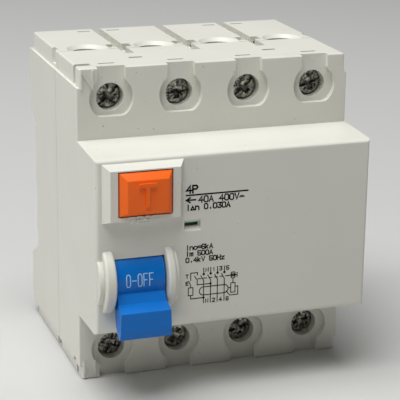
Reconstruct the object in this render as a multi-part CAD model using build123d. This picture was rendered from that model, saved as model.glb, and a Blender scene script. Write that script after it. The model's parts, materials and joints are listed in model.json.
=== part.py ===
from build123d import *
import math
import os

# Residual current device, four poles, for a 35 mm top-hat rail. Millimetres.
# X runs across the poles (the lever is on the -X side), Y runs from the front to the rail, Z is up.
# The origin is the centre of the face that sits on the rail.

# ---- overall sizes ----
pole_count = 4
pole_pitch = 18.0
body_height = 82.0
shoulder_depth = 45.5          # rail seat to the terminal face
nose_depth = 62.0              # rail seat to the front of the nose
nose_height = 44.5
nose_draft = 0.7               # how much taller the nose is at its root, each side
seam_depth = 24.0              # rail seat to the joint between base and cover
side_recess = 0.75             # the end strips are this much narrower than the body, each side
upper_strip = 4.7
lower_strip = 3.5
wall = 2.0
nose_round = 1.2
edge_round = 0.4
corner_round = 0.5

# ---- rail side ----
rail_width = 35.0
rail_thickness = 1.0
rail_gap = 0.1                 # above the rail at the fixed hook
latch_gap = 2.0                # below the rail at the latch side
seat_land = 30.0               # height of the raised seat face
seat_relief = 0.4
upper_pad = 5.5                # how far the pads stand behind the seat
lower_pad = 7.2
upper_strip_rear = 3.3
lower_strip_rear = 3.7
pad_slope = 1.4
lower_slope = 3.8
hook_reach = 1.6
hook_width = 12.0
hook_offset = 24.0
hook_thickness = 2.6
latch_width = 14.0
latch_flange = 1.5
latch_depth = 5.2
latch_travel = 3.0
slide_gap = 0.3

# ---- terminals ----
terminal_inset = 7.8           # screw axis inside the upper and lower ends of the body
well_gap = 0.3                 # round the screw head
recess_radius = 5.7
recess_depth = 1.7
recess_flat = 4.6              # from the screw axis to the flat inner edge of the recess
recess_corner = 2.4            # radius where the flat edge meets the round one
channel_width = 7.2
screw_head_radius = 3.25
screw_head_height = 2.4
screw_head_sink = 2.4          # head below the floor of the recess
screw_shank_radius = 2.5
screw_pitch = 0.8
screw_turns = 5.5
thread_clearance = 0.05
slot_width = 1.0
slot_depth = 1.3
cross_span = 4.2
cross_width = 1.1
chamber_side_gap = 0.6         # beside the cage
chamber_inner_gap = 1.4        # between the cage and the inner wall
chamber_outer_gap = 1.5        # between the cage and the outer wall
well_land = 4.8                # plastic between the recess floor and the chamber
cage_width = 12.4
cage_height = 10.0
cage_wall = 1.5
cage_rear_wall = 1.8
cage_side_gap = 0.4            # beside the terminal plate
cage_front_wall = 2.0
cage_end_gap = 0.2             # left in front of a cage that is fully lifted
entry_width = 8.3
entry_depth = 5.8
entry_scoop = 1.2
entry_scoop_depth = 0.9
entry_step = 0.4               # from the entry's rear edge back to the rear wall of the cage
plate_thickness = 1.2
plate_seam_gap = 0.4
plate_slot_gap = 0.2           # round a terminal plate in the cover
plate_edge = 0.8               # from the housing's inner wall to the bent plate
plate_short = 0.6              # tongue ends this far inside the cage
plate_contact_inset = 1.0      # contact strips are narrower than the plates, each side
screw_rim_round = 0.35
screw_tip_chamfer = 0.5
screw_plate_gap = 0.1
cage_corner = 1.0
cage_ridges = (-3, -1, 1, 3)
ridge_half = 0.3
ridge_height = 0.25
screw_turns_upper = (48, 85, 50, 70)     # where each slot points, degrees clockwise from upright
screw_turns_lower = (20, 128, 75, 160)

# ---- marks of the mould on the top and bottom faces ----
groove_width = 2.5             # groove between two poles
groove_depth = 2.5
groove_front = 30.5            # how far in front of the rail seat the groove reaches
cross_slot_width = 6.4         # slot across the groove
cross_slot_depth = 1.8
cross_slot_rear = 18.7
cross_slot_front = 22.3
vent_width = 4.2               # slot over each terminal
vent_depth = 2.4
vent_inset = 4.4               # behind the terminal face
vent_thickness = 0.8
side_vent_width = 3.6          # slot over the walls of the outer poles
side_vent_inset = 9.1
side_vent_thickness = 1.2
lug_length = 4.8               # label lug at the corners of the -X side
lug_slot_inset = 3.4
lug_slot_thickness = 2.1
rear_slot_width = 3.6
rear_slot_offset = 4.1         # each side of the groove
rear_slot_thickness = 0.8
notch_depth = 0.9              # notches in the end strips, for a locking foot
notch_length = 3.4
notch_front = 21.7
notch_land = 0.8
lower_notch_front = 23.5
lower_notch_length = 4.0
lower_notch_land = 0.5
seam_groove_depth = 0.25

# ---- case screws, through the walls between the outer poles ----
case_screw_radius = 1.45
case_screw_hole = 1.5
case_screw_head = 2.6
case_screw_head_height = 1.9
case_screw_seat = 1.2
case_screw_length = 16.0
case_screw_inset = 1.3         # from the chamber's inner wall to the axis
case_screw_room = 0.3          # round the head
case_screw_cross = (0.7, 1.6, 3.0)

# ---- contacts ----
contact_height = 19.0          # upper contact above the rail centre
contact_span = 10.0            # from the upper contact to the lower one
contact_plane = 10.6           # rail seat to the front of the contact strips
contact_gap = 4.5
contact_clearance = 0.05
contact_land = 0.4             # of the strips beyond the contact tips
tip_radius = 2.0
tip_height = 1.0
bridge_width = 5.0
carrier_height = 5.0
carrier_depth = 8.6
carrier_wall = 1.5
carrier_end_gap = 1.0
bridge_side_gap = 0.5
arm_half = 3.0                 # half width of the carrier's arm
arm_slot = 3.5                 # how far the link's slot runs above the link
arm_land = 0.5                 # the arm is this much inside the bar, each side
pin_room_gap = 0.3
contact_spring_radius = 1.7
contact_spring_turns = 4
rib_half = 0.8                 # ribs of the base between the contact chambers
rib_gap = 0.6                  # between a rib and the contact strips
rib_overlap = 0.5
wire_radius = 1.5
wire_bend = 2.4
wire_bunch = 2.3               # each wire's place from the axis of the core, along X and along Y
wire_exit = -16.0
wire_upper_level = -1.0
wire_foot_gap = 0.2
wire_clear_core = 5.2          # below the core
core_outer = 13.0
core_inner = 7.0
core_height = 9.0
core_depth = 20.0              # rail seat to the axis of the core
core_level = -9.0
core_round = 0.6
winding_radius = 0.9
winding_turns = 7
winding_gap = 0.12
winding_pitch = 2.15           # between turns, in wire radii, at the inner wall of the core
winding_round = 1.2

# ---- lever ----
lever_inset = 11.05            # from the -X side of the body to the middle of the lever
lever_width = 12.2
lever_flare = 0.55
pivot_depth = 57.2
pivot_level = -8.7
drum_radius = 7.2
drum_gap = 0.3
lever_swing = 70.0
pivot_pin_radius = 1.5
pin_clearance = 0.05
link_length = 19.0
link_width = 2.4
link_thickness = 1.6
link_pin_radius = 0.8
link_eye_wall = 0.2
link_reach = 3.6               # half length of the crank pin's hole
link_side_gap = 0.6            # in the drum, beside the link
drum_wall = 1.5
handle_root = 1.0              # the handle starts this far above the pivot
handle_neck = (6.7, 2.6)       # ahead of the pivot and below it, where the handle leaves the drum
handle_top = (8.3, 4.8)
handle_tip = 11.5              # how far the tip stands ahead of the pivot
tip_high = 6.1                 # flat front of the tip, below the pivot
tip_low = 11.3
tip_edge = (10.8, 13.3)
handle_under = ((8.2, 12.6), (6.2, 11.0), (5.3, 8.9), (5.25, 6.3), (4.7, 5.2))
handle_length = 18.5           # from the pivot to where the flare is measured
tip_round = 0.4
torsion_radius = 2.2
torsion_wire = 0.5
cheek_radius = 9.3
cheek_left = 2.65
cheek_right = 2.0
cheek_gap_left = 0.45
cheek_gap_right = 0.45
boss_radius = 8.0
boss_radius_left = 7.4
boss_width = 1.3
boss_width_right = 1.1
cheek_overlap = 0.1
cheek_round = 0.6
boss_round = 0.3

# ---- mechanism behind the lever ----
frame_plate = 1.0
frame_gap = 0.85
pin_end = 0.3                  # pins stand out of the plates
press_gap = 0.02
latch_pin_y = -37.2
latch_pin_z = -16.6
latch_pin_radius = 1.0
frame_rear_land = 3.0          # of the plates behind the latch pin
frame_low_land = 2.6
frame_nose = 2.2
frame_drop = 3.0
frame_rise = 4.5
frame_top = 7.5
frame_step = 6.0
frame_corner = 8.0
trip_half = 4.0
trip_height = 6.0
trip_thickness = 2.0
trip_lip = 1.6
relay_half = 7.0
relay_gap = 5.0                # from the latch pin to the front of the relay
relay_depth = 13.0
relay_low = -15.5
relay_high = -4.0
relay_round = 1.0
relay_bore = 6.5
plunger_radius = 1.4
plunger_gap = 0.05
plunger_rest_gap = 0.15        # to the trip latch
plunger_hold = 3.6             # of the plunger in its bore when it has fired
plunger_travel = 1.4
plunger_level = -12.4

# ---- test button ----
button_inset = 12.1            # from the -X side of the body to the middle of the button
button_level = 14.0
button_width = 13.2
button_height = 10.8
button_gap = 0.3
button_proud = 4.0             # front of the button ahead of the nose
button_travel = 1.8
button_bevel = 1.7
platform_proud = 2.5
platform_border = 2.2
platform_bevel = 1.5
platform_top_bevel = 1.6
platform_low_bevel = 1.0
platform_top_trim = 0.4
button_flange = 0.9
button_flange_gap = 0.05
button_flange_depth = 1.5
button_low_bevel = 1.2
button_right_bevel = 1.2
button_round = 0.25
stem_radius = 1.25
stem_gap = 0.6                 # to the strip when the button is fully pressed
button_spring_radius = 2.6
button_spring_wire = 0.5
button_spring_turns = 4
base_front = -52.0             # front of the test contact block
test_block = (16.0, 2.2, 13.0) # across, deep, tall
test_block_drop = 7.0          # below the button's axis
test_bore = 1.0
strip_half = 6.0
strip_thickness = 0.4
strip_tall = 6.4
resistor_radius = 1.7
resistor_half = 4.5
resistor_gap = 1.8
resistor_lead = 0.35
resistor_round = 0.5

# ---- position window, flag ----
window_inset = 24.8            # from the -X side of the body to the middle of the window
window_level = 4.0
window_width = 4.25
window_height = 2.9
window_slope = 1.1             # depth of its sloped upper and lower faces
slit_height = 1.0
slit_land = 0.3                # the slit is narrower than the window, each side
flag_travel = 2.6
flag_gap = 0.25
flag_half = 2.6
flag_thickness = 1.0
flag_land = 0.6                # of the flag beyond the slit at both ends of its travel

# ---- rail latch ----
latch_floor = 1.0
latch_mid = 2.9
latch_flange_depth = 1.6
latch_skin = 1.3
latch_end_gap = 0.4
latch_top_gap = 0.5
latch_lip = 0.6
pull_half = 3.0
pull_depth = 1.6
pull_low = 1.6
pull_high = 3.0
spring_post = 4.0
spring_post_height = 2.6
spring_post_length = 2.0
latch_spring_low = -33.0
latch_spring_length = 8.0
latch_spring_radius = 1.4
latch_spring_turns = 7
fine_wire = 0.4                # wire of the latch and contact springs
spring_end_gap = 0.05

# ---- worked out from the sizes above ----
body_width = pole_count * pole_pitch
half_width = body_width / 2
half_height = body_height / 2
strip_half_width = half_width - side_recess
poles = [(k - (pole_count - 1) / 2) * pole_pitch for k in range(pole_count)]
walls_between = [(k - pole_count / 2) * pole_pitch for k in range(1, pole_count)]
half_nose = nose_height / 2
lever_x = -half_width + lever_inset
button_x = -half_width + button_inset
window_x = -half_width + window_inset
terminal_height = half_height - terminal_inset
well_radius = screw_head_radius + well_gap
plate_width = cage_width - 2 * (cage_wall + cage_side_gap)
chamber_width = cage_width + 2 * chamber_side_gap
pad_top = half_height - upper_strip
pad_bottom = -half_height + lower_strip
half_rail = rail_width / 2
chamber_inner = terminal_height - cage_height / 2 - chamber_inner_gap
chamber_outer = terminal_height + cage_height / 2 + chamber_outer_gap
cavity_half = chamber_inner - wall
recess_floor = -shoulder_depth + recess_depth
chamber_front = recess_floor + well_land
screw_top = recess_floor + screw_head_sink
screw_neck = screw_top + screw_head_height
cage_travel = screw_pitch * screw_turns
plate_rear = -seam_depth - plate_seam_gap
plate_front = plate_rear - plate_thickness
entry_rear = -seam_depth + entry_depth
cage_rear_inner = entry_rear + entry_step
cage_rear = cage_rear_inner + cage_rear_wall
cage_front = chamber_front + cage_travel + cage_end_gap
chamber_rear = cage_rear + chamber_side_gap
cavity_rear = -wall - 0.2
nose_inside = -nose_depth + wall
shoulder_inside = -shoulder_depth + wall + 0.2
contact_travel = contact_gap - contact_clearance
contact_face = -contact_plane - tip_height
bridge_rear = contact_face - contact_gap - tip_height
bridge_front = bridge_rear - plate_thickness
carrier_rear = bridge_rear + carrier_wall
carrier_front = carrier_rear - carrier_depth
contact_middle = contact_height - contact_span / 2
lever_left = lever_x - lever_width / 2
lever_right = lever_x + lever_width / 2
cheek_inner_left = lever_left - cheek_gap_left
cheek_inner_right = lever_right + cheek_gap_right
crank_angle = math.radians(lever_swing / 2)
crank_radius = contact_travel / (2 * math.sin(crank_angle))
crank_y = -pivot_depth - crank_radius * math.sin(crank_angle)
crank_z = pivot_level + crank_radius * math.cos(crank_angle)
link_end_y = crank_y + link_length
button_front = -nose_depth - button_proud
button_rear = nose_inside + button_flange_depth
half_button = button_width / 2
half_button_height = button_height / 2
case_screw_places = [
    (side * pole_pitch, end * (chamber_inner + case_screw_inset)) for side in (-1, 1) for end in (-1, 1)
]
plate_inner = cavity_half - plate_thickness - plate_edge
wire_lower_level = core_level - core_height / 2 - wire_clear_core
centre_strip_low = contact_height - contact_span - 4.5
arm_front = link_end_y - 2.1
arm_rear = link_end_y + 2.1
arm_low = crank_z - 2.8
plate_reach = cheek_gap_left + frame_gap
left_plate_x = lever_left - plate_reach - frame_plate
right_plate_x = lever_right + plate_reach
mechanism_rear = latch_pin_y + frame_rear_land
trip_latch_top = latch_pin_z + trip_height
relay_front = latch_pin_y + relay_gap


def block(x0, x1, y0, y1, z0, z1):
    """A box between the given limits."""
    return Pos((x0 + x1) / 2, (y0 + y1) / 2, (z0 + z1) / 2) * Box(
        abs(x1 - x0), abs(y1 - y0), abs(z1 - z0)
    )


def rod_x(radius, x0, x1, y, z):
    """A round bar along X."""
    return Pos((x0 + x1) / 2, y, z) * Rot(0, 90, 0) * Cylinder(radius, abs(x1 - x0))


def rod_y(radius, y0, y1, x, z):
    """A round bar along Y."""
    return Pos(x, (y0 + y1) / 2, z) * Rot(90, 0, 0) * Cylinder(radius, abs(y1 - y0))


def rod_z(radius, z0, z1, x, y):
    """A round bar along Z."""
    return Pos(x, y, (z0 + z1) / 2) * Cylinder(radius, abs(z1 - z0))


def side_prism(points, x0, x1):
    """An outline in Y and Z, carried from x0 to x1."""
    return extrude(Plane.YZ.offset(x0) * Polygon(*points, align=None), x1 - x0, dir=(1, 0, 0))


def plan_prism(points, z0, z1):
    """An outline in X and Y, carried from z0 to z1."""
    return extrude(Plane.XY.offset(z0) * Polygon(*points, align=None), z1 - z0, dir=(0, 0, 1))


def upside_down(shape):
    """The same shape mirrored to the lower side."""
    return mirror(shape, Plane.XY)


def coil_spring(radius, wire, length, turns):
    """A round-wire spring along Z, from z = 0."""
    helix = Helix((length - wire) / turns, length - wire, radius)
    section = Plane(origin=helix @ 0, z_dir=helix % 0) * Circle(wire / 2)
    return Pos(0, 0, wire / 2) * sweep(section, path=helix)


def write(name, shape):
    export_step(shape, f"parts/{name}.step")


# ---- features that base and cover share ----

def pole_grooves():
    """Grooves between the poles on the top face, with their cross slots."""
    cuts = []
    rear = max(upper_strip_rear, lower_strip_rear) + 1
    half, half_slot = groove_width / 2, cross_slot_width / 2
    for x in walls_between:
        cuts.append(block(x - half, x + half, -groove_front, rear, half_height - groove_depth,
                          half_height + 1))
        cuts.append(block(x - half_slot, x + half_slot, -cross_slot_front, -cross_slot_rear,
                          half_height - cross_slot_depth, half_height + 1))
    return cuts


def chambers(y0, y1):
    """The eight terminal chambers between two depths."""
    upper = [
        block(x - chamber_width / 2, x + chamber_width / 2, y0, y1, chamber_inner, chamber_outer)
        for x in poles
    ]
    return upper + [upside_down(cut) for cut in upper]


def edges_at_depth(shape, depth):
    """The edges of a shape that lie in one plane across Y."""
    return [
        e for e in shape.edges()
        if abs(e.bounding_box().min.Y - depth) < 0.01 and abs(e.bounding_box().max.Y - depth) < 0.01
    ]


def cover_shell():
    """Outer form of the cover: shoulder with narrower end strips, and the nose."""
    strips = block(-strip_half_width, strip_half_width, -shoulder_depth, -seam_depth,
                   -half_height, half_height)
    strips = fillet(strips.edges().filter_by(Axis.Y), corner_round)
    strips = fillet(edges_at_depth(strips, -shoulder_depth), edge_round)
    middle = block(-half_width, half_width, -shoulder_depth, -seam_depth, pad_bottom, pad_top)
    middle = fillet(edges_at_depth(middle, -shoulder_depth), edge_round)
    root = half_nose + nose_draft
    nose = side_prism(
        [(-shoulder_depth + 1, -root), (-nose_depth, -half_nose), (-nose_depth, half_nose),
         (-shoulder_depth + 1, root)], -half_width, half_width)
    nose = fillet(edges_at_depth(nose, -nose_depth), nose_round)
    return strips + middle + nose


def seam_groove():
    """A fine groove round the outside, where the cover meets the base."""
    depth = seam_groove_depth
    ring = []
    for side in (-1, 1):
        for reach, low, high in (
            (half_width, pad_bottom, pad_top),
            (strip_half_width, pad_top, half_height + 1),
            (strip_half_width, -half_height - 1, pad_bottom),
        ):
            ring.append(block(side * (reach - depth), side * (half_width + 1),
                              -seam_depth - depth, -seam_depth + 1, low, high))
        ring.append(block(-half_width - 1, half_width + 1, -seam_depth - depth, -seam_depth + 1,
                          side * (half_height - depth), side * (half_height + 1)))
    return ring


def terminal_recess(x):
    """Outline of the round recess with its channel to the outer edge, for one upper terminal."""
    front = -shoulder_depth - 1
    disc = rod_y(recess_radius, front, recess_floor, x, terminal_height)
    half = channel_width / 2
    channel = block(x - half, x + half, front, recess_floor, terminal_height, half_height + 1)
    keep = block(x - pole_pitch, x + pole_pitch, front - 1, 0, terminal_height - recess_flat,
                 half_height + 2)
    recess = (disc + channel) & keep
    corners = [e for e in recess.edges().filter_by(Axis.Y)
               if abs(e.center().Z - terminal_height + recess_flat) < 0.01]
    return fillet(corners, recess_corner)


def cheeks():
    """Rounded cheeks and stepped bosses on both sides of the lever opening."""
    parts = []
    spans = (
        (cheek_inner_left - cheek_left, cheek_inner_left, cheek_radius),
        (cheek_inner_right, cheek_inner_right + cheek_right, cheek_radius),
        (cheek_inner_left - cheek_left - boss_width, cheek_inner_left - cheek_left + cheek_overlap,
         boss_radius_left),
        (cheek_inner_right + cheek_right - cheek_overlap,
         cheek_inner_right + cheek_right + boss_width_right, boss_radius),
    )
    for x0, x1, radius in spans:
        disc = rod_x(radius, x0, x1, -pivot_depth, pivot_level)
        rims = [e for e in disc.edges() if e.geom_type == GeomType.CIRCLE]
        disc = fillet(rims, cheek_round if radius > boss_radius else boss_round)
        parts.append(disc & block(x0 - 1, x1 + 1, -nose_depth - cheek_radius, -nose_depth + 1,
                                  pivot_level - cheek_radius, pivot_level + cheek_radius))
    return parts


def button_platform():
    """Raised, bevelled platform that the test button comes through."""
    out_x = half_button + platform_border + platform_bevel
    out_z = half_button_height + platform_border
    top = -nose_depth - platform_proud
    sides = plan_prism(
        [(button_x - out_x, -nose_depth + 1), (button_x - out_x, -nose_depth),
         (button_x - out_x + platform_bevel, top), (button_x + out_x - platform_bevel, top),
         (button_x + out_x, -nose_depth), (button_x + out_x, -nose_depth + 1)],
        button_level - out_z - 2, button_level + out_z + 2)
    ends = side_prism(
        [(-nose_depth + 1, button_level - out_z), (-nose_depth, button_level - out_z),
         (top, button_level - out_z + platform_low_bevel),
         (top, button_level + out_z - platform_top_bevel),
         (-nose_depth, button_level + out_z - platform_top_trim),
         (-nose_depth + 1, button_level + out_z - platform_top_trim)],
        button_x - out_x - 1, button_x + out_x + 1)
    return sides & ends


def position_window():
    """Recess that narrows to a slit, where the position flag shows."""
    low, high = window_level - window_height / 2, window_level + window_height / 2
    slit_low, slit_high = window_level - slit_height / 2, window_level + slit_height / 2
    floor = -nose_depth + window_slope
    x0, x1 = window_x - window_width / 2, window_x + window_width / 2
    funnel = side_prism([(-nose_depth - 1, high), (-nose_depth, high), (floor, slit_high),
                         (floor, slit_low), (-nose_depth, low), (-nose_depth - 1, low)], x0, x1)
    slit = block(x0 + slit_land, x1 - slit_land, -nose_depth, nose_inside + 1, slit_low, slit_high)
    return funnel + slit


def front_cover():
    cover = cover_shell() + button_platform()
    for part in cheeks():
        cover += part
    inner_x = half_width - wall
    cover -= block(-inner_x, inner_x, shoulder_inside, -seam_depth + 1, -cavity_half, cavity_half)
    inner_nose = half_nose - wall + 0.15
    cover -= block(-inner_x, inner_x, nose_inside, shoulder_inside + 1, -inner_nose, inner_nose)
    cuts = chambers(chamber_front, -seam_depth + 1) + seam_groove()
    grooves = pole_grooves()
    for x in poles:
        recess = terminal_recess(x)
        well = rod_y(well_radius, -shoulder_depth - 1, chamber_front + 0.5, x, terminal_height)
        half_slot = plate_width / 2 + plate_slot_gap
        plate_slot = block(x - half_slot, x + half_slot, plate_front - plate_slot_gap,
                           -seam_depth + 1, cavity_half - 1, chamber_inner + 1)
        vent = block(x - vent_width / 2, x + vent_width / 2, -shoulder_depth + vent_inset,
                     -shoulder_depth + vent_inset + vent_thickness, half_height - vent_depth,
                     half_height + 1)
        cuts += [recess, well, plate_slot, vent]
        cuts += [upside_down(cut) for cut in (recess, well, plate_slot, vent)]
    for side in (-1, 1):
        x, half_vent = side * pole_pitch, side_vent_width / 2
        vent = block(x - half_vent, x + half_vent, -shoulder_depth + side_vent_inset,
                     -shoulder_depth + side_vent_inset + side_vent_thickness,
                     half_height - vent_depth, half_height + 1)
        cuts += [vent, upside_down(vent)]
    # slots that leave a small label lug at the corners of the -X side
    lug_rear = -shoulder_depth + lug_slot_inset
    lug_slot = block(-half_width - 1, -half_width + lug_length, lug_rear,
                     lug_rear + lug_slot_thickness, pad_top, half_height + 1)
    cuts += [lug_slot, upside_down(lug_slot)]
    cuts += grooves + [upside_down(cut) for cut in grooves]
    cuts.append(rod_x(drum_radius + drum_gap, cheek_inner_left, cheek_inner_right,
                      -pivot_depth, pivot_level))
    cuts.append(block(button_x - half_button - button_gap, button_x + half_button + button_gap,
                      -nose_depth - platform_proud - 1, nose_inside + 1,
                      button_level - half_button_height - button_gap,
                      button_level + half_button_height + button_gap))
    cuts.append(position_window())
    for x, z in case_screw_places:
        cuts.append(rod_y(case_screw_hole, -seam_depth - case_screw_length, -seam_depth + 1, x, z))
    for cut in cuts:
        cover -= cut
    return cover


def base_outline():
    """Outer form of the base: rail channel between the upper and lower pads, narrower strips."""
    wall_top = half_rail + rail_gap
    wall_bottom = -half_rail - latch_gap
    body = side_prism(
        [(-seam_depth, pad_bottom), (-seam_depth, pad_top), (upper_pad, pad_top),
         (upper_pad, wall_top + pad_slope), (0, wall_top), (0, wall_bottom),
         (lower_pad, wall_bottom - lower_slope), (lower_pad, pad_bottom)], -half_width, half_width)
    body = fillet(edges_at_depth(body, upper_pad) + edges_at_depth(body, lower_pad), edge_round)
    top = block(-strip_half_width, strip_half_width, -seam_depth, upper_strip_rear,
                pad_top - wall, half_height)
    bottom = block(-strip_half_width, strip_half_width, -seam_depth, lower_strip_rear,
                   -half_height, pad_bottom + wall)
    for strip, rear in ((top, upper_strip_rear), (bottom, lower_strip_rear)):
        strip = fillet([e for e in strip.edges().filter_by(Axis.Y)
                        if abs(e.center().Z) > half_height - 0.01], corner_round)
        body += fillet(edges_at_depth(strip, rear), edge_round)
    return body


def rail_hook(x):
    """Fixed hook that reaches behind the upper edge of the rail."""
    low = half_rail - hook_reach
    front = rail_thickness + 0.2
    wall_top = half_rail + rail_gap
    return side_prism(
        [(front, low), (front, wall_top + pad_slope), (front + hook_thickness, wall_top + pad_slope),
         (front + hook_thickness, low + 1.3), (front + hook_thickness - 1.2, low)],
        x - hook_width / 2, x + hook_width / 2)


def cable_entry(x):
    """Opening for a cable: flat at the seam, round behind, with a shallow scoop."""
    radius = entry_width / 2
    centre = entry_rear - radius
    keep = block(x - pole_pitch / 2, x + pole_pitch / 2, -seam_depth - 1, entry_rear + entry_scoop + 1,
                 0, half_height + 1)
    opening = rod_z(radius, chamber_outer - 1, half_height + 1, x, centre)
    front = block(x - radius, x + radius, -seam_depth - 1, centre, chamber_outer - 1, half_height + 1)
    scoop = Pos(x, centre, half_height - entry_scoop_depth / 2) * Cone(
        radius, radius + entry_scoop, entry_scoop_depth + 0.001)
    return (opening + front + scoop) & keep


def base_housing():
    base = base_outline()
    for x in (-hook_offset, hook_offset):
        base += rail_hook(x)
    inner_x = half_width - wall
    cuts = [block(-inner_x, inner_x, -seam_depth - 1, cavity_rear, -cavity_half, cavity_half)]
    cuts += chambers(-seam_depth - 1, chamber_rear)
    wall_top = half_rail + rail_gap
    wall_bottom = -half_rail - latch_gap
    cuts.append(block(-half_width - 1, half_width + 1, -seat_relief, rail_thickness,
                      seat_land / 2, wall_top))
    cuts.append(block(-half_width - 1, half_width + 1, -seat_relief, rail_thickness,
                      wall_bottom, -seat_land / 2))
    for x in poles:
        entry = cable_entry(x)
        cuts += [entry, upside_down(entry)]
    grooves = pole_grooves()
    cuts += grooves + [upside_down(cut) for cut in grooves]
    for side in (-1, 1):
        for offset in (-rear_slot_offset, rear_slot_offset):
            x, half_slot = side * pole_pitch + offset, rear_slot_width / 2
            slot = block(x - half_slot, x + half_slot, -rear_slot_thickness / 2,
                         rear_slot_thickness / 2, half_height - vent_depth, half_height + 1)
            cuts += [slot, upside_down(slot)]
        inner, outer = side * (strip_half_width - notch_depth), side * (half_width + 1)
        cuts.append(block(inner, outer, -notch_front, -notch_front + notch_length,
                          pad_top + notch_land, half_height + 1))
        cuts.append(block(inner, outer, -lower_notch_front, -lower_notch_front + lower_notch_length,
                          -half_height - 1, pad_bottom - lower_notch_land))
    # T-shaped slide for the rail latch
    half = latch_width / 2 + slide_gap
    slide_top = -half_rail - latch_top_gap
    cuts.append(block(-half, half, latch_floor, lower_pad + 1, -half_height - 1, slide_top))
    cuts.append(block(-half - latch_flange, half + latch_flange, latch_mid - slide_gap,
                      latch_mid + latch_flange_depth + slide_gap, -half_height - 1,
                      slide_top - latch_travel))
    for x, z in case_screw_places:
        cuts.append(rod_y(case_screw_hole, -seam_depth - 1, lower_pad + 1, x, z))
        cuts.append(rod_y(case_screw_head + case_screw_room, case_screw_seat, lower_pad + 1, x, z))
    for cut in cuts:
        base -= cut
    # post that the latch spring stands on
    base += block(-spring_post / 2, spring_post / 2, latch_floor - 0.5,
                  latch_floor + spring_post_height, latch_spring_low - spring_post_length,
                  latch_spring_low)
    # ribs between the contact chambers
    for x in walls_between:
        base += block(x - rib_half, x + rib_half, -contact_plane + plate_thickness + rib_gap,
                      cavity_rear + rib_overlap, contact_height - contact_span - 5,
                      cavity_half + rib_overlap)
    return base


def rail_latch():
    """Sliding latch: a sloped nose behind the lower edge of the rail, and a pull slot below."""
    front = latch_floor + slide_gap
    rear = front + latch_depth
    top = -half_rail - latch_gap
    nose_top = -half_rail + hook_reach
    half, low = latch_width / 2, -half_height + latch_end_gap
    latch = block(-half, half, front, rear, low, top)
    latch += block(-half - latch_flange + slide_gap, half + latch_flange - slide_gap, latch_mid,
                   latch_mid + latch_flange_depth, low, top - latch_travel - latch_flange)
    latch += side_prism([(front, top - 0.5), (front, nose_top), (front + latch_lip, nose_top),
                         (rear, top), (rear, top - 0.5)], -half, half)
    pocket_top = latch_spring_low + latch_spring_length
    pocket_low = latch_spring_low - 2 * spring_post_length - latch_travel + 0.1
    latch -= block(-spring_post / 2 - slide_gap, spring_post / 2 + slide_gap, front - 1,
                   rear - latch_skin, pocket_low, pocket_top)
    latch -= block(-pull_half, pull_half, rear - pull_depth, rear + 1, -half_height + pull_low,
                   -half_height + pull_high)
    return latch


def latch_spring():
    centre = latch_floor + slide_gap + (latch_depth - latch_skin) / 2
    spring = coil_spring(latch_spring_radius, fine_wire, latch_spring_length - 2 * spring_end_gap,
                         latch_spring_turns)
    return Pos(0, centre, latch_spring_low + spring_end_gap) * spring


def case_screws():
    """Four self-tapping screws, from the back into the cover."""
    screws = []
    for x, z in case_screw_places:
        shank = rod_y(case_screw_radius, -seam_depth - case_screw_length + 1, case_screw_seat, x, z)
        top = case_screw_seat + case_screw_head_height
        head = rod_y(case_screw_head, case_screw_seat, top, x, z)
        screw = shank + head
        for turn in (0, 90):
            screw -= Pos(x, top, z) * Rot(0, turn, 0) * Box(*case_screw_cross)
        screws.append(screw)
    return Compound(children=screws)


# ---- terminals ----

def terminal_screw(x, level, turn):
    """Screw with a slot and a cross in its head. It turns in place and lifts the cage."""
    head = rod_y(screw_head_radius, screw_top, screw_neck, 0, 0)
    head = fillet([e for e in head.edges() if abs(e.center().Y - screw_top) < 0.01],
                  screw_rim_round)
    shank = rod_y(screw_shank_radius, screw_neck, plate_front - screw_plate_gap, 0, 0)
    shank = chamfer([e for e in shank.edges() if e.center().Y > screw_neck + 1
                     and e.geom_type == GeomType.CIRCLE], screw_tip_chamfer)
    screw = head + shank
    slot = Box(slot_width, 2 * slot_depth, 2 * screw_head_radius + 1)
    cross = Box(cross_width, 2 * slot_depth + 1.0, cross_span)
    screw -= Pos(0, screw_top, 0) * slot
    for angle in (0, 90):
        screw -= Pos(0, screw_top, 0) * Rot(0, angle, 0) * cross
    return Pos(x, 0, level) * Rot(0, turn, 0) * screw


def cage_clamp(x, level):
    """Lifting cage: a square tube of thick strip with a threaded front wall."""
    half, tall = cage_width / 2, cage_height / 2
    cage = block(-half, half, cage_front, cage_rear, -tall, tall)
    corners = [e for e in cage.edges() if abs(e.center().Z) < 0.01]
    cage = fillet(corners, cage_corner)
    cage -= block(-half + cage_wall, half - cage_wall, cage_front + cage_front_wall,
                  cage_rear_inner, -tall - 1, tall + 1)
    cage -= rod_y(screw_shank_radius + thread_clearance, cage_front - 1,
                  cage_front + cage_front_wall + 1, 0, 0)
    # ridges that bite into the conductor
    for z in cage_ridges:
        cage += block(-half + cage_wall, half - cage_wall, cage_rear_inner - ridge_height,
                      cage_rear_inner + ridge_height, z - ridge_half, z + ridge_half)
    return Pos(x, 0, level) * cage


def terminal_leg(x, rear):
    """Upper terminal plate: a tongue through the cage, bent back into the housing."""
    half = plate_width / 2
    outer = terminal_height + cage_height / 2 - plate_short
    tongue = block(x - half, x + half, plate_front, plate_rear, plate_inner, outer)
    leg = block(x - half, x + half, plate_front, rear, plate_inner, plate_inner + plate_thickness)
    return tongue + leg


def line_terminal_plate(x):
    """Line side: the bent plate ends in the upper fixed contact."""
    strip_front = -contact_plane
    plate = terminal_leg(x, strip_front + plate_thickness)
    half = plate_width / 2 - plate_contact_inset
    plate += block(x - half, x + half, strip_front, strip_front + plate_thickness,
                   contact_height - tip_radius - contact_land, plate_inner + plate_thickness)
    plate += rod_y(tip_radius, contact_face, strip_front + 0.2, x, contact_height)
    return plate


def load_terminal_plate(x):
    """Load side: the bent plate that the wire from the core ends on."""
    return upside_down(terminal_leg(x, wire_exit + wire_radius + 1.0))


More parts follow.
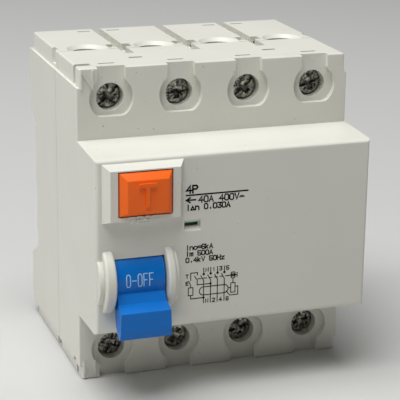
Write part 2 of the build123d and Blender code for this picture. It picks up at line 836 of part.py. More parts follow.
def centre_contact(x):
    """Lower fixed contact on a short strip, on the way to the core."""
    level = contact_height - contact_span
    half = plate_width / 2 - plate_contact_inset
    strip = block(x - half, x + half, -contact_plane, -contact_plane + plate_thickness,
                  centre_strip_low, level + tip_radius + contact_land)
    foot = block(x - half, x + half, -contact_plane - 2 * (wire_radius + wire_foot_gap),
                 -contact_plane + plate_thickness, centre_strip_low - plate_thickness,
                 centre_strip_low)
    return strip + foot + rod_y(tip_radius, contact_face, -contact_plane + 0.2, x, level)


def primary_wires():
    """Four insulated conductors from the centre contacts, through the core, to the load side."""
    wires = []
    start_y = -contact_plane - wire_radius - wire_foot_gap
    for k, x in enumerate(poles):
        outer = k in (0, pole_count - 1)
        cx = math.copysign(wire_bunch, x)
        cy = -core_depth + (-wire_bunch if outer else wire_bunch)
        points = [
            (x, start_y, centre_strip_low - plate_thickness),
            (x, start_y, wire_upper_level),
            (cx, cy, wire_upper_level),
            (cx, cy, wire_lower_level),
            (x, wire_exit, wire_lower_level),
            (x, wire_exit, -plate_inner),
        ]
        runs = [math.dist(a, b) for a, b in zip(points, points[1:])]
        radii = [min(wire_bend, 0.45 * min(a, b)) for a, b in zip(runs, runs[1:])]
        path = FilletPolyline(*points, radius=radii)
        section = Plane(origin=path @ 0, z_dir=path % 0) * Circle(wire_radius)
        wires.append(sweep(section, path=path))
    return Compound(children=wires)


def contact_bridge(x):
    """Moving bridge that closes both contacts of a pole."""
    half = bridge_width / 2
    reach = contact_span / 2 + tip_radius + contact_land
    bridge = block(x - half, x + half, bridge_front, bridge_rear, contact_middle - reach,
                   contact_middle + reach)
    for end in (-1, 1):
        bridge += rod_y(tip_radius, bridge_rear - 0.2, bridge_rear + tip_height, x,
                        contact_middle + end * contact_span / 2)
    return bridge


def contact_springs():
    """One spring behind each bridge, in its window of the carrier."""
    length = bridge_front - carrier_front - carrier_wall - 2 * spring_end_gap
    springs = []
    for x in poles:
        spring = Rot(90, 0, 0) * coil_spring(contact_spring_radius, fine_wire, length,
                                             contact_spring_turns)
        springs.append(Pos(x, bridge_front - spring_end_gap, contact_middle) * spring)
    return Compound(children=springs)


def contact_carrier():
    """Sliding crossbar with a window for each bridge, and an arm down to the link."""
    half = half_width - wall - carrier_end_gap
    tall = carrier_height / 2
    bar = block(-half, half, carrier_front, carrier_rear, contact_middle - tall,
                contact_middle + tall)
    window = bridge_width / 2 + bridge_side_gap
    for x in poles:
        bar -= block(x - window, x + window, carrier_front + carrier_wall, bridge_rear,
                     contact_middle - tall - 1, contact_middle + tall + 1)
    arm = block(lever_x - arm_half, lever_x + arm_half, arm_front, carrier_front + 1,
                contact_middle - tall + arm_land, contact_middle + tall - arm_land)
    leg = block(lever_x - arm_half, lever_x + arm_half, arm_front, arm_rear, arm_low,
                contact_middle + tall - arm_land)
    slot = link_width / 2 + pin_room_gap
    leg -= block(lever_x - slot, lever_x + slot, arm_front - 1, arm_rear + 1, arm_low - 1,
                 crank_z + arm_slot)
    pin_room = link_pin_radius + pin_room_gap
    leg -= block(lever_x - arm_half - 1, lever_x + arm_half + 1, link_end_y - pin_room,
                 link_end_y + pin_room, crank_z - pin_room, crank_z + pin_room + link_pin_radius)
    return bar + arm + leg


# ---- lever and mechanism ----

def lever_profile():
    """Side view of the handle, in Y and Z: root, upper face, tip, and the finger side below."""
    ahead_and_below = [(0, -handle_root), handle_neck, handle_top, (handle_tip, tip_high),
                       (handle_tip, tip_low), tip_edge, *handle_under]
    return [(-pivot_depth - ahead, pivot_level - below) for ahead, below in ahead_and_below]


def toggle_lever():
    """Handle and drum in one moulding, with room behind for the link."""
    drum = rod_x(drum_radius, lever_left, lever_right, -pivot_depth, pivot_level)
    half = lever_width / 2
    handle = side_prism(lever_profile(), lever_left - lever_flare, lever_right + lever_flare)
    # the sides of the handle widen towards the tip
    direction = math.degrees(math.atan2((tip_high + tip_low) / 2, handle_tip))
    fan = Plane.XY * Polygon(
        (-half, 0), (-half, -cheek_radius), (-half - lever_flare, -handle_length),
        (half + lever_flare, -handle_length), (half, -cheek_radius), (half, 0), align=None)
    fan = Pos(lever_x, -pivot_depth, pivot_level) * Rot(direction, 0, 0) * (
        Pos(0, 0, -2 * handle_tip) * extrude(fan, 4 * handle_tip, dir=(0, 0, 1)))
    handle = handle & fan
    tip = [e for e in handle.edges()
           if e.length > lever_width - 1 and e.center().Y < -pivot_depth - handle_top[0] - 1]
    handle = fillet(tip, tip_round)
    lever = drum + handle
    room = link_width / 2 + link_side_gap
    inner = drum_radius - drum_wall
    lever -= rod_x(inner, lever_x - room, lever_x + room, -pivot_depth, pivot_level)
    # open sector behind and above, as far as the link swings
    reach = drum_radius + drum_wall + 2
    arc = [(0.0, 0.0)] + [
        (reach * math.cos(math.radians(a)), reach * math.sin(math.radians(a)))
        for a in (2, 40, 80, 118)
    ]
    sector = [(-pivot_depth + y, pivot_level + z) for y, z in arc]
    lever -= side_prism(sector, lever_x - room, lever_x + room)
    lever -= rod_x(pivot_pin_radius + pin_clearance, lever_left - 1, lever_right + 1,
                   -pivot_depth, pivot_level)
    lever -= rod_x(link_pin_radius + pin_clearance, lever_x - link_reach, lever_x + link_reach,
                   crank_y, crank_z)
    return lever


def lever_pin():
    end = plate_reach + frame_plate + pin_end
    return rod_x(pivot_pin_radius, lever_left - end, lever_right + end, -pivot_depth, pivot_level)


def lever_link():
    """Flat bar with a cross pin at each end, from the lever's crank to the carrier."""
    half = link_width / 2
    link = block(lever_x - half, lever_x + half, crank_y, link_end_y,
                 crank_z - link_thickness / 2, crank_z + link_thickness / 2)
    for y in (crank_y, link_end_y):
        link += rod_x(link_pin_radius + link_eye_wall, lever_x - half, lever_x + half, y, crank_z)
    crank_half = link_reach - link_eye_wall
    link += rod_x(link_pin_radius, lever_x - crank_half, lever_x + crank_half, crank_y, crank_z)
    link += rod_x(link_pin_radius, lever_x - arm_half, lever_x + arm_half, link_end_y, crank_z)
    return link


def mechanism_plate(x0):
    """Steel side plate that carries the lever pin and the latch pin."""
    plate = side_prism(
        [(-pivot_depth - frame_nose, pivot_level - frame_drop),
         (-pivot_depth - frame_nose, pivot_level + frame_rise),
         (-pivot_depth + frame_step, pivot_level + frame_top),
         (mechanism_rear, pivot_level + frame_top),
         (mechanism_rear, latch_pin_z - frame_low_land),
         (-pivot_depth + frame_corner, latch_pin_z - frame_low_land)],
        x0, x0 + frame_plate)
    for y, z, radius in ((-pivot_depth, pivot_level, pivot_pin_radius),
                         (latch_pin_y, latch_pin_z, latch_pin_radius)):
        plate -= rod_x(radius + press_gap, x0 - 1, x0 + frame_plate + 1, y, z)
    return plate


def latch_pin():
    return rod_x(latch_pin_radius, left_plate_x - pin_end, right_plate_x + frame_plate + pin_end,
                 latch_pin_y, latch_pin_z)


def trip_latch():
    """Trip latch: a plate that swings on its pin when the relay pushes it."""
    x0, x1 = lever_x - trip_half, lever_x + trip_half
    skin = trip_thickness / 2
    latch = block(x0, x1, latch_pin_y - skin, latch_pin_y + skin, latch_pin_z, trip_latch_top)
    latch += rod_x(trip_thickness, x0, x1, latch_pin_y, latch_pin_z)
    latch += block(x0, x1, latch_pin_y - skin - trip_lip, latch_pin_y, trip_latch_top - skin,
                   trip_latch_top)
    return latch - rod_x(latch_pin_radius + pin_clearance, x0 - 1, x1 + 1, latch_pin_y, latch_pin_z)


def lever_spring():
    """Torsion spring round the lever pin, beside the drum."""
    length = plate_reach - 2 * spring_end_gap
    spring = Rot(0, 90, 0) * coil_spring(torsion_radius, torsion_wire, length, 1)
    return Pos(lever_right + spring_end_gap, -pivot_depth, pivot_level) * spring


def trip_relay():
    """Sealed case of the polarised trip relay, with a bore for its plunger."""
    relay = block(lever_x - relay_half, lever_x + relay_half, relay_front,
                  relay_front + relay_depth, relay_low, relay_high)
    relay = fillet(relay.edges().filter_by(Axis.Y), relay_round)
    return relay - rod_y(plunger_radius + plunger_gap, relay_front - 1, relay_front + relay_bore,
                         lever_x, plunger_level)


def relay_plunger():
    tip = latch_pin_y + trip_thickness / 2 + plunger_rest_gap
    rear = relay_front + plunger_hold + plunger_travel
    return rod_y(plunger_radius, tip, rear, lever_x, plunger_level)


# ---- current transformer ----

def ring_core():
    """Ring core in its case, with its axis upright."""
    ring = rod_z(core_outer, core_level - core_height / 2, core_level + core_height / 2, 0,
                 -core_depth)
    ring -= rod_z(core_inner, core_level - core_height, core_level + core_height, 0, -core_depth)
    return fillet(ring.edges().filter_by(GeomType.CIRCLE), core_round)


def core_winding():
    """Secondary winding: a band of round turns beside each other, closed round the ring section."""
    thick = 2 * winding_radius
    inner = core_inner - winding_gap - thick
    outer = core_outer + winding_gap + thick
    tall = core_height / 2 + winding_gap + thick
    turns = []
    step = math.degrees(winding_pitch * winding_radius / inner)
    for k in range(winding_turns):
        turn = block(inner, outer, -winding_radius, winding_radius, -tall, tall)
        turn = fillet(turn.edges().filter_by(Axis.Y), winding_round)
        turn -= block(inner + thick, outer - thick, -thick, thick, -tall + thick, tall - thick)
        angle = -90 + (k - (winding_turns - 1) / 2) * step
        turns.append(Pos(0, -core_depth, core_level) * Rot(0, 0, angle) * turn)
    return Compound(children=turns)


# ---- test circuit ----

def test_button():
    """Button with a bevelled cap, a flange behind the cover and a stem."""
    top = -nose_depth - platform_proud
    x0, x1 = button_x - half_button, button_x + half_button
    z0, z1 = button_level - half_button_height, button_level + half_button_height
    sides = plan_prism(
        [(x0, button_rear), (x0, top), (x0 + button_bevel, button_front),
         (x1 - button_right_bevel, button_front), (x1, top), (x1, button_rear)], z0 - 1, z1 + 1)
    ends = side_prism(
        [(button_rear, z0), (top, z0), (button_front, z0 + button_low_bevel),
         (button_front, z1 - button_bevel), (top, z1), (button_rear, z1)], x0 - 1, x1 + 1)
    button = sides & ends
    front = [e for e in button.edges() if e.center().Y < top + 0.01]
    button = fillet(front, button_round)
    flange_front = nose_inside + button_flange_gap
    button += block(x0 - button_flange, x1 + button_flange, flange_front, button_rear,
                    z0 - button_flange, z1 + button_flange)
    return button + rod_y(stem_radius, button_rear - 0.5, base_front - button_travel - stem_gap,
                          button_x, button_level)


def button_spring():
    length = base_front - strip_thickness - button_rear - 3 * spring_end_gap
    spring = Rot(-90, 0, 0) * coil_spring(button_spring_radius, button_spring_wire, length,
                                          button_spring_turns)
    return Pos(button_x, button_rear + spring_end_gap, button_level) * spring


def test_contact_base():
    """Insulating block behind the button, with a bore for the stem."""
    across, deep, tall = test_block
    low = button_level - test_block_drop
    insulator = block(button_x - across / 2, button_x + across / 2, base_front, base_front + deep,
                      low, low + tall)
    return insulator - rod_y(test_bore, base_front - 1, base_front + deep + 1, button_x,
                             button_level)


def test_contact_strip():
    """Thin bronze strip that the stem presses."""
    return block(button_x - strip_half, button_x + strip_half, base_front - strip_thickness,
                 base_front, button_level - strip_tall / 2, button_level + strip_tall / 2)


def test_resistor():
    """Resistor of the test circuit, lying behind its block."""
    across, deep, _ = test_block
    y = base_front + deep + resistor_gap
    body = rod_x(resistor_radius, button_x - resistor_half, button_x + resistor_half, y,
                 button_level)
    body = fillet(body.edges().filter_by(GeomType.CIRCLE), resistor_round)
    return body + rod_x(resistor_lead, button_x - across / 2, button_x + across / 2, y,
                        button_level)


def position_flag():
    """Two-colour flag behind the slit, moved by the carrier."""
    low = window_level - slit_height / 2 - flag_land
    high = window_level + slit_height / 2 + flag_travel + flag_land
    front = nose_inside + flag_gap
    return block(window_x - flag_half, window_x + flag_half, front, front + flag_thickness, low, high)


def main():
    os.makedirs("parts", exist_ok=True)
    write("base_housing", base_housing())
    write("front_cover", front_cover())
    write("case_screws", case_screws())
    write("rail_latch", rail_latch())
    write("latch_spring", latch_spring())
    for name, level, turns in (("upper", terminal_height, screw_turns_upper),
                               ("lower", -terminal_height, screw_turns_lower)):
        for k, x in enumerate(poles, start=1):
            write(f"terminal_screw_{name}_{k}", terminal_screw(x, level, turns[(k - 1) % len(turns)]))
            write(f"cage_clamp_{name}_{k}", cage_clamp(x, level))
    for k, x in enumerate(poles, start=1):
        write(f"line_terminal_plate_{k}", line_terminal_plate(x))
        write(f"load_terminal_plate_{k}", load_terminal_plate(x))
        write(f"centre_contact_{k}", centre_contact(x))
        write(f"contact_bridge_{k}", contact_bridge(x))
    write("contact_springs", contact_springs())
    write("contact_carrier", contact_carrier())
    write("primary_wires", primary_wires())
    write("ring_core", ring_core())
    write("core_winding", core_winding())
    write("toggle_lever", toggle_lever())
    write("lever_pin", lever_pin())
    write("lever_spring", lever_spring())
    write("lever_link", lever_link())
    write("mechanism_plate_left", mechanism_plate(left_plate_x))
    write("mechanism_plate_right", mechanism_plate(right_plate_x))
    write("latch_pin", latch_pin())
    write("trip_latch", trip_latch())
    write("trip_relay", trip_relay())
    write("relay_plunger", relay_plunger())
    write("test_button", test_button())
    write("button_spring", button_spring())
    write("test_contact_base", test_contact_base())
    write("test_contact_strip", test_contact_strip())
    write("test_resistor", test_resistor())
    write("position_flag", position_flag())


main()
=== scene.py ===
# %% [markdown]
# # A residual current device, four poles
# The device snaps onto a 35 mm rail and cuts the supply when current leaks to earth.
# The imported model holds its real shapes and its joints. This script gives it its finish: softened
# mould edges, threaded screws, raised and printed marks, and a material for every piece.
# Lengths are in metres, and `mm` turns a size in millimetres into metres.

# %% Load the frame
import json
import math
import bmesh
import bpy
import numpy as np
from mathutils import Matrix, Vector

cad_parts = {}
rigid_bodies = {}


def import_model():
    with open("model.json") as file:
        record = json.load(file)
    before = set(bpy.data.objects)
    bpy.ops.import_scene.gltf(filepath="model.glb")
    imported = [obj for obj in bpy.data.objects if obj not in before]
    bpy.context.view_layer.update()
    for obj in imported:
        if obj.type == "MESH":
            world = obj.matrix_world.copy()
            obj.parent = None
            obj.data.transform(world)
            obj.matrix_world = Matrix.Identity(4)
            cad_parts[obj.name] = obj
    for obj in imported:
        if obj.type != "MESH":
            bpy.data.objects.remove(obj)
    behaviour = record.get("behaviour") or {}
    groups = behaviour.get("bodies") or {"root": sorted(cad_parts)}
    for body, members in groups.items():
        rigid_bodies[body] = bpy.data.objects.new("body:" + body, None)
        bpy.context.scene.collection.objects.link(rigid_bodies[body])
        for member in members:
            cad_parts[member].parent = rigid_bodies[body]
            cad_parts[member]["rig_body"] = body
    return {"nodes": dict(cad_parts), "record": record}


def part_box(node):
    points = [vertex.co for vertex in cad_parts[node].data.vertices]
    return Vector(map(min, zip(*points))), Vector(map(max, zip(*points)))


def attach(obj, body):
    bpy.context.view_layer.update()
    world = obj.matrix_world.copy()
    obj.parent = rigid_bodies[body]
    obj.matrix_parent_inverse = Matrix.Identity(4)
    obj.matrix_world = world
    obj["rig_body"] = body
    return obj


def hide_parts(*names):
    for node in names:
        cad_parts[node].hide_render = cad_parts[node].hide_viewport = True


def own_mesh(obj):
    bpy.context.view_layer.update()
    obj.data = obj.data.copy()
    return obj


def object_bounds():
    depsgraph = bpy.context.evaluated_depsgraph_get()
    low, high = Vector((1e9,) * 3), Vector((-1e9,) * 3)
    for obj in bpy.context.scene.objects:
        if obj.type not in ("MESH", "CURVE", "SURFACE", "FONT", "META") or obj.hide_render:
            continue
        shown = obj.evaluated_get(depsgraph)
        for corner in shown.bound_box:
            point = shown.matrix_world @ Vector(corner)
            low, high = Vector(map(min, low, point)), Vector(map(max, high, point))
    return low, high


mm = 0.001
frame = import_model()
nodes = frame["nodes"]
cad_low, cad_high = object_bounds()

# %% [markdown]
# ## Camera
# The lens is long, so the sides of the case stay nearly parallel. The camera stands to the left of
# the front and looks down on it, which shows the top face, the left side and the whole front.

# %% Camera
camera_data = bpy.data.cameras.new("camera")
camera = bpy.data.objects.new("camera", camera_data)
bpy.context.scene.collection.objects.link(camera)
bpy.context.scene.camera = camera
camera_heading = math.radians(19.035)
camera_fall = math.radians(17.329)
camera_roll = math.radians(0.73)
ahead = Vector((math.sin(camera_heading) * math.cos(camera_fall),
                math.cos(camera_heading) * math.cos(camera_fall), -math.sin(camera_fall)))
camera.location = Vector((-126.07, -400.36, 122.00)) * mm
camera.rotation_mode = "QUATERNION"
roll_turn = Matrix.Rotation(camera_roll, 3, "Z").to_quaternion()
camera.rotation_quaternion = ahead.to_track_quat("-Z", "Y") @ roll_turn
camera_data.sensor_width = 36.0
camera_data.lens = 137.99
camera_data.clip_start = 0.01
print("camera is", round(camera.location.length / mm), "mm from the rail seat")

# %% [markdown]
# ## Colours and shader nodes
# Colours are written as sRGB hex, as on a colour card, and one function turns them into the linear
# values that the renderer adds up. One function adds a shader node, so a material reads as a list of
# its steps.

# %% Colours and shader nodes
def linear(code):
    """sRGB hex digits as linear red, green, blue and alpha: v / 12.92 when dark, a 2.4 power above."""
    level = np.array([int(code[i:i + 2], 16) for i in (0, 2, 4)]) / 255
    return (*np.where(level < 0.04045, level / 12.92, ((level + 0.055) / 1.055) ** 2.4), 1.0)


def add(tree, kind, settings={}, inputs={}):
    """Adds one shader node. An input is a number, a colour, or another node's output to link."""
    node = tree.nodes.new("ShaderNode" + kind)
    for name, value in settings.items():
        setattr(node, name, value)
    for name, value in inputs.items():
        if isinstance(value, bpy.types.NodeSocket):
            tree.links.new(value, node.inputs[name])
        else:
            node.inputs[name].default_value = value
    return node


print("middle grey in linear light:", round(linear("808080")[0], 3))

# %% [markdown]
# ## Moulded plastic
# The case is a light grey polyamide moulding. Its mould is spark eroded, which leaves a fine even
# grain, so the surface is satin: it shows broad soft highlights and no mirror image. The plastic is
# not perfectly one colour, because filler and flow leave faint clouds a centimetre wide, and a few
# specks of dust sit on it. Two noises give the clouds and the grain, and a third, cut off high, the
# specks.

# %% Moulded plastic
dust_colour = "6E6A60"
cloud_width = 11 * mm
speck_width = 0.9 * mm


def moulded_plastic(name, colour, cloud, roughness, grain=0.5, relief=0.012, dust=0.0, gloss=0.5):
    """Satin moulding: clouds of a second colour, grain of a given width in mm, relief in mm.
    The real grain is about 0.05 mm wide; it is drawn coarser so that it shows."""
    material = bpy.data.materials.new(name)
    material.use_nodes = True
    tree = material.node_tree
    shader = tree.nodes["Principled BSDF"]
    place = add(tree, "TexCoord").outputs["Object"]
    clouds = add(tree, "TexNoise", inputs={"Vector": place, "Scale": 1 / cloud_width, "Detail": 5.0})
    mix = add(tree, "Mix", {"data_type": "RGBA"},
              {0: clouds.outputs[0], 6: linear(colour), 7: linear(cloud)})
    if dust:
        specks = add(tree, "TexNoise", inputs={"Vector": place, "Scale": 1 / speck_width, "Detail": 1.0})
        # only the highest few peaks of the noise pass this range
        few = add(tree, "MapRange", inputs={"Value": specks.outputs[0], "From Min": 0.77,
                                            "From Max": 0.8, "To Max": dust})
        mix = add(tree, "Mix", {"data_type": "RGBA"},
                  {0: few.outputs[0], 6: mix.outputs[2], 7: linear(dust_colour)})
    tree.links.new(mix.outputs[2], shader.inputs["Base Color"])
    fine = add(tree, "TexNoise", inputs={"Vector": place, "Scale": 1 / (grain * mm), "Detail": 2.0})
    spread = add(tree, "MapRange", inputs={"Value": fine.outputs[0],
                                           "To Min": roughness - 0.06, "To Max": roughness + 0.08})
    tree.links.new(spread.outputs[0], shader.inputs["Roughness"])
    bump = add(tree, "Bump",
               inputs={"Height": fine.outputs[0], "Distance": relief * mm, "Strength": 0.6})
    tree.links.new(bump.outputs[0], shader.inputs["Normal"])
    shader.inputs["IOR"].default_value = 1.53
    shader.inputs["Specular IOR Level"].default_value = gloss
    return material


# polyamide: warm light grey, satin, a soft sheen on its rounded edges
housing_plastic = moulded_plastic("light_grey_polyamide", "DDDCD3", "D6D5CB", 0.42, dust=0.5)
# the latch is the same plastic from another mould, a little darker
latch_plastic = moulded_plastic("grey_polyamide", "B9B8B0", "B0AFA7", 0.45)
# pigmented polyamide: a full blue with a smoother, brighter skin
lever_plastic = moulded_plastic("blue_polyamide", "0072CC", "006AC0", 0.36, relief=0.006, gloss=0.25)
# polycarbonate: orange, a little glossier than the case
button_plastic = moulded_plastic("orange_polycarbonate", "FA6E12", "F5640E", 0.36,
                                 relief=0.006, gloss=0.3)
# glass-filled phenolic inside: nearly black and dull
inner_plastic = moulded_plastic("black_phenolic", "2A2A2B", "222223", 0.55)
# soft PVC sleeve of the wires: black with a waxy shine
wire_insulation = moulded_plastic("black_pvc_sleeve", "1C1C1E", "161618", 0.38)
# baked lacquer: beige and even
resistor_lacquer = moulded_plastic("beige_lacquer", "C4B294", "B8A688", 0.4)
# pad-printing ink: flat, matt, thin
black_ink = moulded_plastic("black_pad_ink", "060606", "0C0C0B", 0.7, relief=0.004, gloss=0.2)
white_ink = moulded_plastic("pale_pad_ink", "B8D4E6", "A4C8E0", 0.5, relief=0.004)
print(len(bpy.data.materials), "plastics and inks")

# %% [markdown]
# ## Two-colour flag
# The flag behind the window is one small moulding printed in two halves: green for off, red for on.
# The border is a height on the flag, so a comparison of the Z coordinate picks the colour.

# %% Two-colour flag
flag_share = 0.52    # green share of the flag's height
flag_low, flag_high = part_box("position_flag")
flag_border = flag_low.z + flag_share * (flag_high.z - flag_low.z)
flag_print = moulded_plastic("two_colour_flag", "1F7A3C", "1B7036", 0.4)
flag_tree = flag_print.node_tree
flag_height = add(flag_tree, "SeparateXYZ", inputs={0: add(flag_tree, "TexCoord").outputs["Object"]})
flag_above = add(flag_tree, "Math", {"operation": "GREATER_THAN"},
                 {0: flag_height.outputs[2], 1: flag_border})
flag_green = flag_tree.nodes["Principled BSDF"].inputs["Base Color"].links[0].from_socket
flag_colour = add(flag_tree, "Mix", {"data_type": "RGBA"},
                  {0: flag_above.outputs[0], 6: flag_green, 7: linear("B4231C")})
flag_tree.links.new(flag_colour.outputs[2], flag_tree.nodes["Principled BSDF"].inputs["Base Color"])
print("flag border", round(flag_border / mm, 2), "mm above the rail centre")

# %% [markdown]
# ## Metals
# Screws and cages are steel with a thin zinc coat. It is bright but never even: each crystal and each
# tool mark turns the light a little differently, so roughness and tone change in patches under a
# millimetre. The copper, bronze and plain steel pieces use the same steps with their own colours.

# %% Metals
grit_width = 0.25 * mm


def worked_metal(name, colour, stain, roughness, patch=0.8, relief=0.01):
    """Metal with patches of a duller tone, patch wide in mm, and a fine uneven surface."""
    material = bpy.data.materials.new(name)
    material.use_nodes = True
    tree = material.node_tree
    shader = tree.nodes["Principled BSDF"]
    shader.inputs["Metallic"].default_value = 1.0
    place = add(tree, "TexCoord").outputs["Object"]
    patches = add(tree, "TexNoise", inputs={"Vector": place, "Scale": 1 / (patch * mm), "Detail": 4.0})
    sharper = add(tree, "MapRange",
                  inputs={"Value": patches.outputs[0], "From Min": 0.35, "From Max": 0.65})
    mix = add(tree, "Mix", {"data_type": "RGBA"},
              {0: sharper.outputs[0], 6: linear(colour), 7: linear(stain)})
    tree.links.new(mix.outputs[2], shader.inputs["Base Color"])
    spread = add(tree, "MapRange", inputs={"Value": patches.outputs[0],
                                           "To Min": roughness - 0.1, "To Max": roughness + 0.15})
    tree.links.new(spread.outputs[0], shader.inputs["Roughness"])
    fine = add(tree, "TexNoise", inputs={"Vector": place, "Scale": 1 / grit_width, "Detail": 3.0})
    bump = add(tree, "Bump",
               inputs={"Height": fine.outputs[0], "Distance": relief * mm, "Strength": 0.7})
    tree.links.new(bump.outputs[0], shader.inputs["Normal"])
    return material


# zinc on hardened steel: grey with warm stains where oil has dried
screw_steel = worked_metal("zinc_plated_steel", "BCBAB0", "38362F", 0.29, patch=0.8, relief=0.02)
# zinc on bent strip: smoother, lighter
cage_steel = worked_metal("zinc_plated_strip", "BDBCB2", "8E8C84", 0.38, patch=1.5)
# bare copper: salmon where fresh, brown where touched
contact_copper = worked_metal("bare_copper", "C9744A", "A85A38", 0.35, patch=2.0)
# enamelled winding wire: copper seen through a clear brown coat
winding_copper = worked_metal("enamelled_copper_wire", "A8552A", "8C4220", 0.28)
# nickel-iron ring in its coat: dark blue grey, soft shine
core_coat = worked_metal("coated_nickel_iron", "55585E", "44474C", 0.45)
# rolled phosphor bronze: yellow brown
spring_bronze = worked_metal("phosphor_bronze", "C79A5A", "A87E46", 0.35)
# drawn spring wire: neutral, bright along its length
spring_steel = worked_metal("spring_steel_wire", "A9ABAD", "83858A", 0.3)
# pressed steel: rolled skin with sheared, duller edges
mechanism_steel = worked_metal("pressed_steel", "A4A6A8", "86888A", 0.4, patch=3.0)
print(len(bpy.data.materials), "materials so far")

# %% [markdown]
# ## Meshes from grids
# A new surface is a grid of points worked out as whole arrays. Each row of the grid is a closed ring,
# the rows follow one another along the piece, and both ends are capped. One function numbers the
# faces and another joins several skins into one mesh, turns the faces outward and keeps only the
# sharp creases sharp.

# %% Meshes from grids
def shell(grid):
    """Corners and faces of a closed skin over a grid of rows, columns and xyz. Each row is a ring,
    and a face closes the first row and the last."""
    rows, columns, _ = grid.shape
    index = np.arange(rows * columns).reshape(rows, columns)
    lower, upper = index[:-1], index[1:]
    quads = np.stack([lower, np.roll(lower, -1, 1), np.roll(upper, -1, 1), upper], -1)
    caps = [index[0][::-1].tolist(), index[-1].tolist()]
    return grid.reshape(-1, 3), quads.reshape(-1, 4).tolist() + caps


def build(name, shells, smooth_angle=35.0):
    """One mesh object from several shells, each closed by itself. Its faces are turned outward, and
    an edge stays sharp where its faces meet at more than smooth_angle degrees."""
    points, faces, start = [], [], 0
    for corners, skin in shells:
        points.append(corners)
        faces += [[start + i for i in face] for face in skin]
        start += len(corners)
    mesh = bpy.data.meshes.new(name)
    mesh.from_pydata(np.concatenate(points), [], faces)
    work = bmesh.new()
    work.from_mesh(mesh)
    bmesh.ops.recalc_face_normals(work, faces=work.faces)
    work.to_mesh(mesh)
    work.free()
    mesh.shade_smooth()
    mesh.set_sharp_from_angle(angle=math.radians(smooth_angle))
    piece = bpy.data.objects.new(name, mesh)
    bpy.context.scene.collection.objects.link(piece)
    return piece


def settle(piece, material, body, slot, *replaced):
    """Gives a piece its material and its body, and hides the CAD nodes it stands for. The slot is not
    used.
    """
    piece.data.materials.clear()
    piece.data.materials.append(material)
    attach(piece, body)
    if replaced:
        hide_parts(*replaced)
    print(piece.name, len(piece.data.polygons), "faces on", body)


def body_of(node):
    """The body that a CAD node rides on."""
    return nodes[node]["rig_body"]


# %% [markdown]
# ## Softened mouldings
# No moulded edge is a perfect corner: the tool leaves a radius of a few tenths of a millimetre, and
# that radius catches a thin line of light. The CAD nodes have sharp corners, so each visible moulding
# is copied, its triangles are merged back into flat faces, and a Bevel modifier rounds its edges.
# Round forms that the model already has, such as the cheeks beside the lever, are left as they are:
# an edge gets a bevel weight only where both of its faces are flat and large. The flat faces are
# then cut into well-shaped triangles, because Blender can close the opening in a face of many sides.

# %% Softened mouldings
def softened(node, name, width, least_face=0.8, angle=30.0):
    """A copy of a CAD node with its sharp edges rounded by a width in mm. An edge is rounded where
    its faces meet at more than the angle in degrees and each has the least area in mm2."""
    mesh = bpy.data.meshes.new(name)
    work = bmesh.new()
    work.from_mesh(nodes[node].data)
    bmesh.ops.remove_doubles(work, verts=work.verts, dist=0.001 * mm)
    bmesh.ops.dissolve_limit(work, angle_limit=math.radians(0.5), verts=work.verts, edges=work.edges)
    flat_areas = {}
    for face in work.faces:
        for edge in face.edges:
            flat_areas.setdefault(edge, []).append(face.calc_area())
    many_sided = [face for face in work.faces if len(face.verts) > 4]
    bmesh.ops.triangulate(work, faces=many_sided, quad_method="BEAUTY", ngon_method="BEAUTY")
    weight = work.edges.layers.float.new("bevel_weight_edge")
    for edge in work.edges:
        if len(edge.link_faces) == 2 and edge.calc_face_angle(0.0) > math.radians(angle):
            if min(flat_areas.get(edge, [0.0])) > least_face * mm * mm:
                edge[weight] = 1.0
    rounded = sum(edge[weight] > 0 for edge in work.edges)
    work.to_mesh(mesh)
    work.free()
    if "custom_normal" in mesh.attributes:
        mesh.attributes.remove(mesh.attributes["custom_normal"])
    mesh.shade_smooth()
    mesh.set_sharp_from_angle(angle=math.radians(angle))
    piece = bpy.data.objects.new(name, mesh)
    bpy.context.scene.collection.objects.link(piece)
    bevel = piece.modifiers.new("soft_edges", "BEVEL")
    bevel.width = width * mm
    bevel.segments = 2
    bevel.limit_method = "WEIGHT"
    bevel.use_clamp_overlap = False
    bevel.miter_outer = "MITER_ARC"
    bevel.harden_normals = True
    print(name, rounded, "edges rounded")
    return piece


for node, name, width, material, slot in (
    ("front_cover", "cover_moulding", 0.22, housing_plastic, "housing_plastic"),
    ("base_housing", "base_moulding", 0.2, housing_plastic, "housing_plastic"),
    ("toggle_lever", "lever_moulding", 0.2, lever_plastic, "lever_plastic"),
    ("test_button", "button_moulding", 0.15, button_plastic, "button_plastic"),
    ("rail_latch", "latch_moulding", 0.15, latch_plastic, "latch_plastic"),
):
    settle(softened(node, name, width), material, body_of(node), slot, node)

# %% [markdown]
# ## Terminal screws
# A terminal screw has a slot for a flat blade and a cross for a pointed one, pressed together into
# one head, with short marks between the arms of the cross. Under the head the shank has a rolled M5
# thread. The head is a height over a disc: rings of points, each point sunk by the depth of the slot
# or the cross there. The thread is a tube whose radius falls and rises with height and angle.

# %% Terminal screws
slot_half, slot_depth = 0.45 * mm, 0.75 * mm
cross_half, cross_reach, cross_depth = 0.68 * mm, 2.15 * mm, 1.9 * mm
cross_taper = 0.35    # share of its depth that the cross loses from its middle to the ends of its arms
mark_half, mark_depth = 0.1 * mm, 0.22 * mm
dome_height = 0.16 * mm
rim_share = 0.07      # radius of the rounded rim, as a share of the head's radius
thread_pitch, thread_depth = 0.8 * mm, 0.4 * mm
tip_length, tip_narrowing = 0.6 * mm, 0.5 * mm


def step_down(distance, blend=0.07 * mm):
    """0 outside a cut and 1 inside it: the distance inside its wall over a short blend, smoothed."""
    t = np.clip(distance / blend * 0.5 + 0.5, 0, 1)
    return t * t * (3 - 2 * t)


